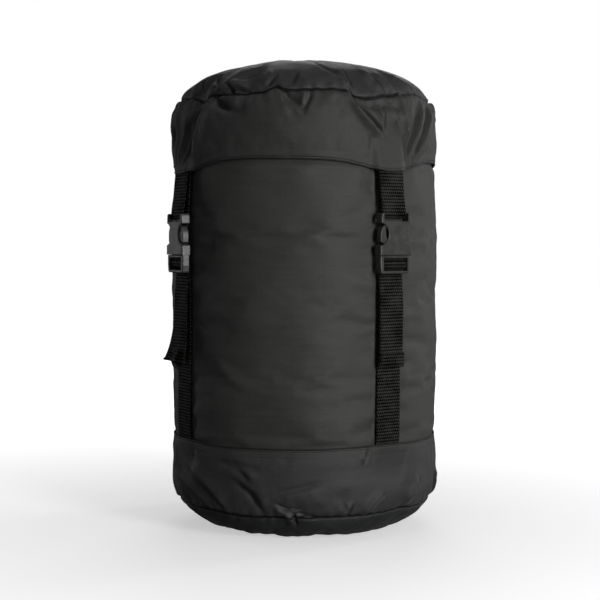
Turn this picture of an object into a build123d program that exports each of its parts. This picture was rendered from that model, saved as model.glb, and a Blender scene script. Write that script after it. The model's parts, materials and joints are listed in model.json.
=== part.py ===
"""Round compression sack for camping kit, standing upright on its base.

A stuffed fabric tube with a sewn round base, a gathered mouth, and a loose cap over the mouth.
Four webbing straps run from the base band up to side-release buckles under the cap's hem.
Pulling the strap tails draws the cap and the mouth towards the base.

Millimetres. +Z is up, the front is -Y, and the origin is the centre of the flat base.
Each strap is drawn at the front of the sack, where outwards is -Y, and is then turned to its place.
"""

from build123d import *
import math
import os

# ---- driving dimensions -------------------------------------------------------------------
SACK_R = 117.0  # outside radius of the cap and base bands
SACK_H = 407.0  # overall height
CLOTH = 1.6  # wall of every cloth shell
TAPE_R = 0.8  # half the thickness of the rolled seam tape
TUBE_R = 114.5  # outside radius of the body panel, which the cap slides over

BASE_FLAT_R = 78.0  # the part of the base that rests on the ground
BASE_CORNER_H = 43.0  # height at which the rounded base reaches the full radius
BASE_SEAM_DEG = 29.2  # where on the base corner the round panel meets the band, down from level
BASE_HEM_Z = 80.0  # top of the base band

CAP_SHOULDER_Z = 340.0  # where the cap starts to round over
CAP_POWER = 2.6  # roundness of the cap's shoulder
CAP_SEAM_R = 110.5  # radius at which the cap's round panel meets its band
CAP_HEM_Z = 314.0  # lower edge of the cap band

WEB_W = 25.0  # webbing width
WEB_T = 1.4  # webbing thickness
STRAP_DEGREES = (-49.7, 49.7, 130.3, -130.3)  # strap places round the sack, from the front

STRAP_IN = 115.2  # inner face of the standing strap, from the sack's axis
TAIL_IN = 117.0  # inner face of the strap tail
TAIL_END_IN = 118.7  # inner face of the tail's free end
STRAP_TOP_Z = 233.0  # the standing strap ends here, and the turn through the buckle takes over
TAIL_PIVOT_Z = 221.0  # the tail hangs from here
TAIL_LOW_Z = 146.0
TAIL_END_TOP_Z = 214.0
TAIL_END_LOW_Z = 145.0
TAIL_FOLD_H = 12.0  # length of the fold at the tail's free end
SEWN_IN = 11.0  # how far the webbing's sewn ends reach under a hem

BUCKLE_MID = 121.5  # the buckle's middle plane, from the sack's axis
MOUTH_Z = 237.7  # where the two buckle halves meet

# ---- cloth shells -------------------------------------------------------------------------
REVOLVE_PLANE = Plane.XZ  # profiles are drawn as radius, height


def revolved(*edges):
    """A full turn about Z of the closed outline that the edges make."""
    outline = REVOLVE_PLANE * make_face(Wire(edges))
    return revolve(outline, Axis.Z)


def ring(inner_r, outer_r, low_z, high_z):
    """A plain cylinder wall."""
    wall = Cylinder(outer_r, high_z - low_z) - Cylinder(inner_r, high_z - low_z + 1)
    return Pos(0, 0, (low_z + high_z) / 2) * wall


def seam_tape(seam_r, seam_z):
    """The tape that binds a seam's raw edges, just inside the cloth."""
    return Pos(0, 0, seam_z) * Torus(seam_r - CLOTH - 2 * TAPE_R, TAPE_R)


def strap_notches(low_z, high_z, room=0.3):
    """What is cut from a cloth band so that the four straps' sewn ends fit into its edge."""
    notch = Box(WEB_W + 2 * room, 12, high_z - low_z)
    at_front = Pos(0, -SACK_R, (low_z + high_z) / 2) * notch
    return [Rot(0, 0, a) * at_front for a in STRAP_DEGREES]


def base_notches():
    return strap_notches(BASE_HEM_Z - SEWN_IN - 1, BASE_HEM_Z + 5)


def cap_notches():
    return strap_notches(CAP_HEM_Z - 5, CAP_HEM_Z + SEWN_IN + 2)


def base_corner(inset, start_deg, end_deg):
    """The rounded lower edge of the sack, or the same edge set in by the cloth's thickness."""
    return EllipticalCenterArc(
        (BASE_FLAT_R, BASE_CORNER_H),
        SACK_R - BASE_FLAT_R - inset,
        BASE_CORNER_H - inset,
        start_angle=start_deg,
        arc_size=end_deg - start_deg,
    )


def base_disc():
    outer = base_corner(0, -90, -BASE_SEAM_DEG)
    inner = base_corner(CLOTH, -90, -BASE_SEAM_DEG)
    return revolved(
        Line((0, 0), outer @ 0),
        outer,
        Line(outer @ 1, inner @ 1),
        inner,
        Line(inner @ 0, (0, CLOTH)),
        Line((0, CLOTH), (0, 0)),
    )


def base_band():
    seam_gap_deg = 0.4
    outer = base_corner(0, -BASE_SEAM_DEG + seam_gap_deg, 0)
    inner = base_corner(CLOTH, -BASE_SEAM_DEG + seam_gap_deg, 0)
    top_in, top_out = (SACK_R - CLOTH, BASE_HEM_Z), (SACK_R, BASE_HEM_Z)
    band = revolved(
        outer,
        Line(outer @ 1, top_out),
        Line(top_out, top_in),
        Line(top_in, inner @ 1),
        inner,
        Line(inner @ 0, outer @ 0),
    )
    return band - base_notches()


def cap_height(radius, inset=0.0):
    """Height of the cap's surface at a radius, on a rounded dome."""
    share = min(1.0, radius / (SACK_R - inset))
    rise = (1 - share**CAP_POWER) ** (1 / CAP_POWER)
    return CAP_SHOULDER_Z + (SACK_H - CAP_SHOULDER_Z - inset) * rise


def cap_curve(radii, inset=0.0):
    return [(r, cap_height(r, inset)) for r in radii]


def cap_disc():
    radii = (0, 30, 55, 75, 90, 100, 106, CAP_SEAM_R)
    outer = Spline(*cap_curve(radii))
    inner_radii = [r * (CAP_SEAM_R - CLOTH) / CAP_SEAM_R for r in reversed(radii)]
    inner = Spline(*cap_curve(inner_radii, CLOTH))
    return revolved(
        outer,
        Line(outer @ 1, inner @ 0),
        inner,
        Line(inner @ 1, outer @ 0),
    )


def cap_band():
    seam_gap = 0.3
    outer_radii = (CAP_SEAM_R + seam_gap, 113.5, 115.6, 116.7, SACK_R)
    inner_radii = [r - CLOTH for r in reversed(outer_radii)]
    outer = Spline(*cap_curve(outer_radii))
    inner = Spline(*cap_curve(inner_radii, CLOTH))
    low_out, low_in = (SACK_R, CAP_HEM_Z), (SACK_R - CLOTH, CAP_HEM_Z)
    band = revolved(
        outer,
        Line(outer @ 1, low_out),
        Line(low_out, low_in),
        Line(low_in, inner @ 0),
        inner,
        Line(inner @ 1, outer @ 0),
    )
    return band - cap_notches()


HEM_H = 7.0
HEM_GAP, HEM_PROUD = 0.05, 0.75  # where the folded edge starts and ends, out from the band


def hem_fold(low_z):
    """The folded edge that runs round the outside of a band."""
    return ring(SACK_R + HEM_GAP, SACK_R + HEM_PROUD, low_z, low_z + HEM_H)


def base_hem():
    return hem_fold(BASE_HEM_Z - HEM_H) - base_notches()


def cap_hem():
    return hem_fold(CAP_HEM_Z) - cap_notches()


TUBE_LOW_Z, TUBE_TOP_Z = 66.0, 276.0


def body_panel():
    return ring(TUBE_R - CLOTH, TUBE_R, TUBE_LOW_Z, TUBE_TOP_Z)


def body_seam():
    """The felled seam that closes the body panel down the back."""
    seam_w, gap, proud = 8.8, 0.02, 0.55
    strip = ring(TUBE_R + gap, TUBE_R + proud, BASE_HEM_Z + 2, TUBE_TOP_Z - 1)
    return strip & (Pos(0, TUBE_R, (BASE_HEM_Z + TUBE_TOP_Z) / 2) * Box(seam_w, 10, SACK_H))


# ---- gathered mouth under the cap -----------------------------------------------------------
COLLAR_R = 112.2  # the mouth collar slides inside the body panel
COLLAR_LOW_Z = 246.0
NECK_R = 17.0


def mouth_collar():
    """The top of the bag, drawn in to a small neck by the cord."""

    def curve(inset):
        shoulder_r = COLLAR_R - inset
        return Spline(
            (shoulder_r, 338),
            (shoulder_r - 5, 358 - 0.4 * inset),
            (84 - 0.6 * inset, 376 - inset),
            (50, 381 - inset),
            (NECK_R + 5 - inset, 384 - inset),
            (NECK_R - inset, 392 - 0.4 * inset),
        )

    outer, inner = curve(0), curve(CLOTH)
    low_out, low_in = (COLLAR_R, COLLAR_LOW_Z), (COLLAR_R - CLOTH, COLLAR_LOW_Z)
    return revolved(
        Line(low_out, outer @ 0),
        outer,
        Line(outer @ 1, inner @ 1),
        inner,
        Line(inner @ 0, low_in),
        Line(low_in, low_out),
    )


CHANNEL_Z = 394.9  # middle of the cord channel
CHANNEL_RING_R = 18.0
CHANNEL_TUBE_R, CHANNEL_BORE_R = 2.5, 1.65
EYELET_R, EYELET_RIM = 2.3, 0.9
EYELET_X = 4.5  # the cord's two ways out stand side by side at the front


def at_eyelets(shape):
    """The shape at both eyelets, its +Z turned to point out of the channel."""
    out_y = -math.sqrt(CHANNEL_RING_R**2 - EYELET_X**2)
    turn = math.degrees(math.asin(EYELET_X / CHANNEL_RING_R))
    return [
        Pos(side * EYELET_X, out_y, CHANNEL_Z) * Rot(0, 0, side * turn) * Rot(90, 0, 0) * shape
        for side in (-1, 1)
    ]


def cord_channel():
    """The hem round the mouth that the cord runs in, open at the two eyelets."""
    tube = Torus(CHANNEL_RING_R, CHANNEL_TUBE_R) - Torus(CHANNEL_RING_R, CHANNEL_BORE_R)
    ring_band = Pos(0, 0, CHANNEL_Z) * tube
    way_out = Pos(0, 0, 3) * Cylinder(EYELET_R - EYELET_RIM, 6)
    return ring_band - at_eyelets(way_out)


def cord_eyelets():
    """Two pressed metal rings that stand on the front of the channel."""
    washer = Cylinder(EYELET_R, EYELET_RIM) - Cylinder(EYELET_R - EYELET_RIM, 2)
    ring_face = Pos(0, 0, CHANNEL_TUBE_R + 0.6) * washer
    return Compound(children=at_eyelets(ring_face))


# ---- one strap and its buckle, drawn at the front -----------------------------------------
def from_front(outline, inner, outer):
    """A solid of that front-view outline, from one distance from the sack's axis to another."""
    return extrude(Plane.XZ.offset(inner) * outline, outer - inner)


def block(width, inner, outer, low_z, high_z):
    shape = Box(width, outer - inner, high_z - low_z)
    return Pos(0, -(inner + outer) / 2, (low_z + high_z) / 2) * shape


def webbing(points, radius):
    """Webbing that follows a path of (distance from axis, height) points, seen from its edge."""
    line = FilletPolyline(*points, radius=radius)
    band = trace(line, WEB_T)
    side_view = Plane(origin=(-WEB_W / 2, 0, 0), x_dir=(0, -1, 0), z_dir=(-1, 0, 0))
    return extrude(side_view * band, -WEB_W)


def standing_strap():
    return block(WEB_W, STRAP_IN, STRAP_IN + WEB_T, BASE_HEM_Z - SEWN_IN, STRAP_TOP_Z)


def ladder_turn():
    """The webbing's turn through the ladder lock, over its middle bar and back down."""
    back, front = TAIL_IN + WEB_T / 2, BUCKLE_MID + 1.5
    route = [
        (back, MOUTH_Z - 8.3),
        (back, MOUTH_Z - 3.5),
        (front, MOUTH_Z - 3.5),
        (front, MOUTH_Z - 10.4),
        (back, MOUTH_Z - 11.6),
        (back, TAIL_PIVOT_Z + 0.9),
    ]
    return webbing(route, 1.4)


def strap_tail():
    return block(WEB_W, TAIL_IN, TAIL_IN + WEB_T, TAIL_LOW_Z, TAIL_PIVOT_Z)


def tail_end():
    """The free end of the tail, folded double and stitched so that it can't pull out."""
    flat = block(WEB_W, TAIL_END_IN, TAIL_END_IN + WEB_T, TAIL_END_LOW_Z, TAIL_END_TOP_Z)
    fold = block(
        WEB_W,
        TAIL_END_IN,
        TAIL_END_IN + 2 * WEB_T,
        TAIL_END_LOW_Z,
        TAIL_END_LOW_Z + TAIL_FOLD_H,
    )
    return flat + fold


def cap_loop():
    """The fixed loop from the cap's hem round the female buckle's bar, two layers of webbing."""
    hem_in = STRAP_IN + WEB_T / 2
    hem_out = hem_in + WEB_T + 0.1
    top_z = CAP_HEM_Z + SEWN_IN + 1
    off_bar = WEB_T / 2 + 0.2  # the webbing's middle line stands this far off the bar
    bar_front, bar_back = BAR_MID + BAR_T / 2 + off_bar, BAR_MID - BAR_T / 2 - off_bar
    under_bar_z = BAR_Z - BAR_H / 2 - off_bar
    route = [
        (hem_out, top_z),
        (hem_out, top_z - 12),
        (bar_front, BAR_Z + 14),
        (bar_front, under_bar_z),
        (bar_back, under_bar_z),
        (bar_back, BAR_Z + 30),
        (hem_in, top_z - 12),
        (hem_in, top_z),
    ]
    return webbing(route, 1.5)


# side-release buckle: female half
FEMALE_H, FEMALE_T = 35.0, 8.0
FEMALE_HALF_W, EAR_HALF_W = 16.8, 15.4
CAVITY_HALF_W, CAVITY_T, CAVITY_H = 13.7, 5.4, 26.2
WINDOW_R, WINDOW_X, WINDOW_H = 9.3, 17.2, 17.5
SLOT_HALF_W = 12.9
BAR_T, BAR_H = 3.0, 3.0
BAR_MID = BUCKLE_MID - 1.6  # the bar is set back, so that the loop lies flush with the face
BAR_Z = MOUTH_Z + FEMALE_H - BAR_H / 2


def female_buckle():
    outline = make_face(
        Polyline(
            (-FEMALE_HALF_W, 0),
            (FEMALE_HALF_W, 0),
            (FEMALE_HALF_W, 10),
            (EAR_HALF_W, FEMALE_H),
            (-EAR_HALF_W, FEMALE_H),
            (-FEMALE_HALF_W, 10),
            close=True,
        )
    )
    outline = fillet(outline.vertices().group_by(Axis.Y)[-1], 2.2)
    outer_t = BUCKLE_MID + FEMALE_T / 2
    shell = from_front(Pos(0, MOUTH_Z) * outline, BUCKLE_MID - FEMALE_T / 2, outer_t)
    shell = fillet(shell.faces().sort_by(Axis.Y)[0].edges(), 1.0)
    shell = fillet(shell.faces().sort_by(Axis.Y)[-1].edges(), 0.8)
    for side in (-1, 1):
        hole = Cylinder(WINDOW_R, 30)
        at = Pos(side * WINDOW_X, -BUCKLE_MID, MOUTH_Z + WINDOW_H) * Rot(90, 0, 0)
        shell -= at * hole
    rim = shell.edges().filter_by(GeomType.CIRCLE)
    rim = rim.filter_by(lambda e: abs(e.radius - WINDOW_R) < 1e-3)
    shell = fillet(rim, 0.7)
    shell -= block(
        2 * CAVITY_HALF_W,
        BUCKLE_MID - CAVITY_T / 2,
        BUCKLE_MID + CAVITY_T / 2,
        MOUTH_Z - 1,
        MOUTH_Z + CAVITY_H,
    )
    slot_low, slot_high = MOUTH_Z + 28.0, BAR_Z - BAR_H / 2
    shell -= block(2 * SLOT_HALF_W, 100, 140, slot_low, slot_high)
    for near, far in ((100, BAR_MID - BAR_T / 2), (BAR_MID + BAR_T / 2, 140)):
        shell -= block(2 * SLOT_HALF_W, near, far, slot_low, MOUTH_Z + FEMALE_H + 1)
    bar = shell.edges().filter_by(Axis.X).filter_by(
        lambda e: abs(e.length - 2 * SLOT_HALF_W) < 0.01 and e.center().Z > slot_high - 0.01
    )
    return fillet(bar, 1.1)


# side-release buckle: male half with its ladder lock
FRAME_HALF_W, FRAME_T, FRAME_H = 16.3, 6.4, 15.2
FLANGE_LOW, FLANGE_TOP = -1.9, -0.2  # the bar under the mouth, from the mouth
TONGUE_HALF_W, TONGUE_H, TONGUE_T = 2.0, 20.0, 3.6


def male_buckle():
    outline = make_face(
        Polyline(
            (-FRAME_HALF_W, FLANGE_TOP),
            (FRAME_HALF_W, FLANGE_TOP),
            (FRAME_HALF_W, -9.0),
            (FRAME_HALF_W - 1.0, -FRAME_H),
            (-FRAME_HALF_W + 1.0, -FRAME_H),
            (-FRAME_HALF_W, -9.0),
            close=True,
        )
    )
    outline = fillet(outline.vertices().group_by(Axis.Y)[0], 2.0)
    back, front = BUCKLE_MID - FRAME_T / 2, BUCKLE_MID + FRAME_T / 2
    frame = from_front(Pos(0, MOUTH_Z) * outline, back, front)
    frame = fillet(frame.faces().sort_by(Axis.Y)[0].edges(), 1.1)
    frame = fillet(frame.faces().sort_by(Axis.Y)[-1].edges(), 0.8)
    frame -= block(2 * SLOT_HALF_W, 100, 140, MOUTH_Z - 12.8, MOUTH_Z + FLANGE_LOW)
    clear_back = BUCKLE_MID - 2.2
    frame -= block(2 * SLOT_HALF_W, 100, clear_back, MOUTH_Z - FRAME_H - 1, MOUTH_Z - 12)
    outer_bar = frame.edges().filter_by(Axis.X).filter_by(
        lambda e: abs(e.length - 2 * SLOT_HALF_W) < 0.01
        and e.center().Z < MOUTH_Z - 12
        and e.center().Y < -clear_back + 0.01
    )
    frame = fillet(outer_bar, 0.7)
    middle_bar = block(
        2 * SLOT_HALF_W + 1, BUCKLE_MID - 2.6, BUCKLE_MID + 0.6, MOUTH_Z - 8.6, MOUTH_Z - 5.4
    )
    frame += fillet(middle_bar.edges().filter_by(Axis.X), 0.8)
    tongue = block(
        2 * TONGUE_HALF_W,
        BUCKLE_MID - TONGUE_T / 2,
        BUCKLE_MID + TONGUE_T / 2,
        MOUTH_Z + FLANGE_TOP - 0.5,
        MOUTH_Z + TONGUE_H,
    )
    return frame + fillet(tongue.edges().group_by(Axis.Z)[-1], 0.8)


PRONG_T = 5.0


def prong(side):
    """A springing arm with the button that shows in the female half's window."""
    arm = make_face(
        Wire(
            [
                Line((7.1, 1.6), (7.4, 9.0)),
                Spline((7.4, 9.0), (9.1, 15.0), (10.0, 21.5)),
                ThreePointArc((10.0, 21.5), (11.0, 24.6), (13.0, 23.6)),
                Spline((13.0, 23.6), (14.8, 20.6), (15.5, 16.5), (15.2, 11.0)),
                Line((15.2, 11.0), (13.0, 10.1)),
                Line((13.0, 10.1), (10.3, 8.6)),
                Line((10.3, 8.6), (10.1, 1.6)),
                ThreePointArc((10.1, 1.6), (8.6, 0.1), (7.1, 1.6)),
            ]
        )
    )
    solid = from_front(
        Pos(0, MOUTH_Z) * arm, BUCKLE_MID - PRONG_T / 2, BUCKLE_MID + PRONG_T / 2
    )
    solid = fillet(solid.faces().sort_by(Axis.Y)[0].edges(), 0.5)
    return solid if side > 0 else mirror(solid, Plane.YZ)


# ---- write every node ----------------------------------------------------------------------
base_seam_angle = math.radians(BASE_SEAM_DEG)
base_seam_r = BASE_FLAT_R + (SACK_R - BASE_FLAT_R) * math.cos(base_seam_angle)
base_seam_z = BASE_CORNER_H * (1 - math.sin(base_seam_angle))

nodes = {
    "base_disc": base_disc(),
    "base_seam_tape": seam_tape(base_seam_r, base_seam_z + 1.5),
    "base_band": base_band(),
    "base_hem": base_hem(),
    "body_panel": body_panel(),
    "body_seam": body_seam(),
    "mouth_collar": mouth_collar(),
    "cord_channel": cord_channel(),
    "cord_eyelets": cord_eyelets(),
    "cap_disc": cap_disc(),
    "cap_seam_tape": seam_tape(CAP_SEAM_R, cap_height(CAP_SEAM_R) - 2.0),
    "cap_band": cap_band(),
    "cap_hem": cap_hem(),
}
for number, angle in enumerate(STRAP_DEGREES, 1):
    place = Rot(0, 0, angle)
    nodes[f"standing_strap_{number}"] = place * standing_strap()
    nodes[f"ladder_turn_{number}"] = place * ladder_turn()
    nodes[f"strap_tail_{number}"] = place * strap_tail()
    nodes[f"tail_end_{number}"] = place * tail_end()
    nodes[f"cap_loop_{number}"] = place * cap_loop()
    nodes[f"female_buckle_{number}"] = place * female_buckle()
    nodes[f"male_buckle_{number}"] = place * male_buckle()
    nodes[f"prong_{number}_left"] = place * prong(-1)
    nodes[f"prong_{number}_right"] = place * prong(1)

os.makedirs("parts", exist_ok=True)
for name, shape in nodes.items():
    export_step(shape, f"parts/{name}.step")
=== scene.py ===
"""Looks of the compression sack: stuffed nylon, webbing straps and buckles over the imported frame.

Metres throughout. An angle on the sack is counted from the front (-Y), positive towards +X.
"Below the seam" is the distance down a sewn end's side band, and negative on its round panel.
"""

import json
import math

import bpy
import numpy as np
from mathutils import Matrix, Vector
from mathutils.bvhtree import BVHTree


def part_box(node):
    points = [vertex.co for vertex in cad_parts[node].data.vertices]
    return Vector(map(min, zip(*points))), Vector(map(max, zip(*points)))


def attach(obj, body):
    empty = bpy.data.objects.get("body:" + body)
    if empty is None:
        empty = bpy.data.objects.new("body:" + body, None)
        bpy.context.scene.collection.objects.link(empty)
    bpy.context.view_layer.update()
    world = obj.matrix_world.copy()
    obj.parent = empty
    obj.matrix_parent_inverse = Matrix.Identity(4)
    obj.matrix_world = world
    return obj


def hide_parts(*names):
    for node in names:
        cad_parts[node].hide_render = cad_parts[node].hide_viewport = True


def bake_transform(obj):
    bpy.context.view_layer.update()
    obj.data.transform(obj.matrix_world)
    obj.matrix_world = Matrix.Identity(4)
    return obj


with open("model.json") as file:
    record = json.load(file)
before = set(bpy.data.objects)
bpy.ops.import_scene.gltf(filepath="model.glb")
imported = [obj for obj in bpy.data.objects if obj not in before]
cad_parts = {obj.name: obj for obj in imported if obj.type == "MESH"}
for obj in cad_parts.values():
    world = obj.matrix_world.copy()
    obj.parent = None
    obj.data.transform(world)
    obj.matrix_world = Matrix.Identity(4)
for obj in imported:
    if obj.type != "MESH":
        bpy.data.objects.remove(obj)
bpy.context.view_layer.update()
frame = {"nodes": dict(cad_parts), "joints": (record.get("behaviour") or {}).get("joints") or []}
MM = 0.001

# ---- sizes read from the frame ----------------------------------------------------------------
SACK_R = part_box("base_band")[1].x
GIRTH = 2 * math.pi * SACK_R
BASE_HEM_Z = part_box("base_band")[1].z
BASE_SEAM_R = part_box("base_disc")[1].x
BASE_SEAM_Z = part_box("base_disc")[1].z
CAP_HEM_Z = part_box("cap_band")[0].z
CAP_SEAM_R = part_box("cap_disc")[1].x
CAP_SEAM_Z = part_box("cap_band")[1].z
CAP_TOP_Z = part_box("cap_disc")[1].z
NECK_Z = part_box("mouth_collar")[1].z
CHANNEL_Z = sum(corner.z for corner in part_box("cord_channel")) / 2
CHANNEL_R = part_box("cord_channel")[1].x
TAIL_LOW_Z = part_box("tail_end_1")[0].z
STRAP_TOP_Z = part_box("standing_strap_1")[1].z

STRAPS = {}  # strap number: its angle on the sack
for joint in frame["joints"]:
    if joint["name"].startswith("tail_swing_"):
        x, y, PIVOT_Z = joint["pos_m"]
        STRAPS[int(joint["name"][-1])] = math.atan2(x, -y)
        TAIL_MID = math.hypot(x, y)

# ---- sizes that the cloth adds -----------------------------------------------------------------
WEB_W, WEB_T = 25.6 * MM, 1.4 * MM
RIB = 2.65 * MM  # pitch of the ribs across the webbing
BODY_R = 116.2 * MM  # the stuffed body between the bands
BODY_TOP_R = 114.6 * MM  # under the cap, where the hem draws it in
PINCH = 1.5 * MM  # how far a strap presses into the body
LOOP_BAR_MID = 119.9 * MM  # the buckle's bar for the cap's loop, from the axis
CLOTH_T = 0.7 * MM
STITCH, STITCH_GAP, THREAD = 2.4 * MM, 0.8 * MM, 0.5 * MM
CAP_SHOULDER_Z, CAP_POWER = 340 * MM, 2.6  # the cap's side is upright below this height
BASE_FLAT_R, BASE_CORNER_Z = 78 * MM, 43 * MM  # the base's flat patch and rounded corner
LEFT_SIDE = math.radians(-78)  # where the sack is stuffed a little less


# ---- camera, light and floor -------------------------------------------------------------------
CAMERA_ANGLE = math.radians(12.3)
CAMERA_FAR, CAMERA_Z, AIM_Z = 1.287, 0.252, 0.1966
AIM_LEFT = 3.6 * MM
LIGHT_AIM = Vector((0, 0, 0.2))


def on_sack(angle, radius, height):
    return Vector((radius * math.sin(angle), -radius * math.cos(angle), height))


def make_camera():
    data = bpy.data.cameras.new("camera")
    data.sensor_width, data.lens = 36, 86.4
    data.clip_start, data.clip_end = 0.05, 20
    camera = bpy.data.objects.new("camera", data)
    bpy.context.scene.collection.objects.link(camera)
    right = Vector((math.cos(CAMERA_ANGLE), math.sin(CAMERA_ANGLE), 0))
    camera.location = on_sack(CAMERA_ANGLE, CAMERA_FAR, CAMERA_Z)
    aim = Vector((0, 0, AIM_Z)) - right * AIM_LEFT
    camera.rotation_mode = "QUATERNION"
    camera.rotation_quaternion = (aim - camera.location).to_track_quat("-Z", "Y")
    bpy.context.scene.camera = camera


def area_light(name, place, size, watts):
    data = bpy.data.lights.new(name, "AREA")
    data.shape = "RECTANGLE"
    data.size, data.size_y = size
    data.energy = watts
    light = bpy.data.objects.new(name, data)
    bpy.context.scene.collection.objects.link(light)
    light.location = place
    light.rotation_mode = "QUATERNION"
    light.rotation_quaternion = (LIGHT_AIM - Vector(place)).to_track_quat("-Z", "Y")


def make_lights():
    area_light("key", on_sack(math.radians(50), 1.9, 0.42), (0.5, 1.0), 22)
    area_light("top", (0.25, -0.45, 1.9), (0.9, 0.9), 1.5)
    area_light("rim_right", on_sack(math.radians(132), 1.6, 0.5), (0.3, 1.6), 5)
    area_light("fill_left", on_sack(math.radians(-35), 2.2, 0.5), (1.0, 1.4), 1.5)
    area_light("rim_left", on_sack(math.radians(-112), 1.5, 0.35), (0.3, 1.4), 1.3)
    area_light("back", on_sack(math.radians(188), 1.9, 0.9), (1.2, 1.0), 9)


def make_world():
    """White where the camera looks past the floor, and a weaker white as light on the sack."""
    world = bpy.data.worlds.new("studio")
    world.use_nodes = True
    nodes, links = world.node_tree.nodes, world.node_tree.links
    nodes.clear()
    out = nodes.new("ShaderNodeOutputWorld")
    seen = nodes.new("ShaderNodeBackground")
    seen.inputs["Color"].default_value = (1, 1, 1, 1)
    seen.inputs["Strength"].default_value = 1.0
    lit = nodes.new("ShaderNodeBackground")
    lit.inputs["Color"].default_value = (0.95, 0.97, 1, 1)
    lit.inputs["Strength"].default_value = 0.05
    path = nodes.new("ShaderNodeLightPath")
    mix = nodes.new("ShaderNodeMixShader")
    links.new(path.outputs["Is Camera Ray"], mix.inputs["Fac"])
    links.new(lit.outputs[0], mix.inputs[1])
    links.new(seen.outputs[0], mix.inputs[2])
    links.new(mix.outputs[0], out.inputs[0])
    bpy.context.scene.world = world
    bpy.context.scene.view_settings.view_transform = "Standard"


# ---- materials ---------------------------------------------------------------------------------
class Shader:
    """A material's node tree with short ways to add and join nodes."""

    def __init__(self, name, **sockets):
        self.material = bpy.data.materials.new(name)
        self.material.use_nodes = True
        self.nodes = self.material.node_tree.nodes
        self.links = self.material.node_tree.links
        self.base = self.nodes["Principled BSDF"]
        for socket, value in sockets.items():
            self.base.inputs[socket.replace("_", " ")].default_value = value

    def math(self, kind, a, b=0.0):
        node = self.nodes.new("ShaderNodeMath")
        node.operation = kind
        for socket, value in zip(node.inputs, (a, b)):
            if isinstance(value, (int, float)):
                socket.default_value = value
            else:
                self.links.new(value, socket)
        return node.outputs[0]

    def uv(self):
        """The piece's cloth coordinates, in metres: across or round, and along."""
        place = self.nodes.new("ShaderNodeUVMap")
        place.uv_map = "cloth"
        split = self.nodes.new("ShaderNodeSeparateXYZ")
        self.links.new(place.outputs[0], split.inputs[0])
        return place.outputs[0], split.outputs[0], split.outputs[1]

    def object_place(self):
        return self.nodes.new("ShaderNodeTexCoord").outputs["Object"]

    def noise(self, place, size, detail=3.0, rough=0.55, stretch=(1, 1, 1)):
        mapping = self.nodes.new("ShaderNodeMapping")
        mapping.inputs["Scale"].default_value = [s / size for s in stretch]
        self.links.new(place, mapping.inputs["Vector"])
        noise = self.nodes.new("ShaderNodeTexNoise")
        noise.inputs["Scale"].default_value = 1.0
        noise.inputs["Detail"].default_value = detail
        noise.inputs["Roughness"].default_value = rough
        self.links.new(mapping.outputs[0], noise.inputs["Vector"])
        return noise.outputs[0]

    def wave(self, along, pitch):
        """1 at every whole pitch and -1 half-way between."""
        return self.math("COSINE", self.math("MULTIPLY", along, 2 * math.pi / pitch))

    def length(self, vector):
        node = self.nodes.new("ShaderNodeVectorMath")
        node.operation = "LENGTH"
        self.links.new(vector, node.inputs[0])
        return node.outputs["Value"]

    def spread(self, value, low, high, out_low, out_high):
        node = self.nodes.new("ShaderNodeMapRange")
        self.links.new(value, node.inputs["Value"])
        for name, number in (
            ("From Min", low), ("From Max", high), ("To Min", out_low), ("To Max", out_high),
        ):
            node.inputs[name].default_value = number
        return node.outputs[0]

    def colours(self, value, *stops):
        ramp = self.nodes.new("ShaderNodeValToRGB")
        elements = ramp.color_ramp.elements
        while len(elements) < len(stops):
            elements.new(0.5)
        for element, (place, colour) in zip(elements, stops):
            element.position = place
            element.color = (*colour, 1)
        self.links.new(value, ramp.inputs["Fac"])
        self.links.new(ramp.outputs["Color"], self.base.inputs["Base Color"])

    def rough(self, value):
        self.links.new(value, self.base.inputs["Roughness"])

    def relief(self, *layers):
        """Bumps over each other: (height value, depth in metres)."""
        normal = None
        for height, depth in layers:
            bump = self.nodes.new("ShaderNodeBump")
            bump.inputs["Strength"].default_value = 1.0
            bump.inputs["Distance"].default_value = depth
            self.links.new(height, bump.inputs["Height"])
            if normal is not None:
                self.links.new(normal, bump.inputs["Normal"])
            normal = bump.outputs["Normal"]
        self.links.new(normal, self.base.inputs["Normal"])


def scaled(colour, share):
    return tuple(c * share for c in colour)


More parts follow.
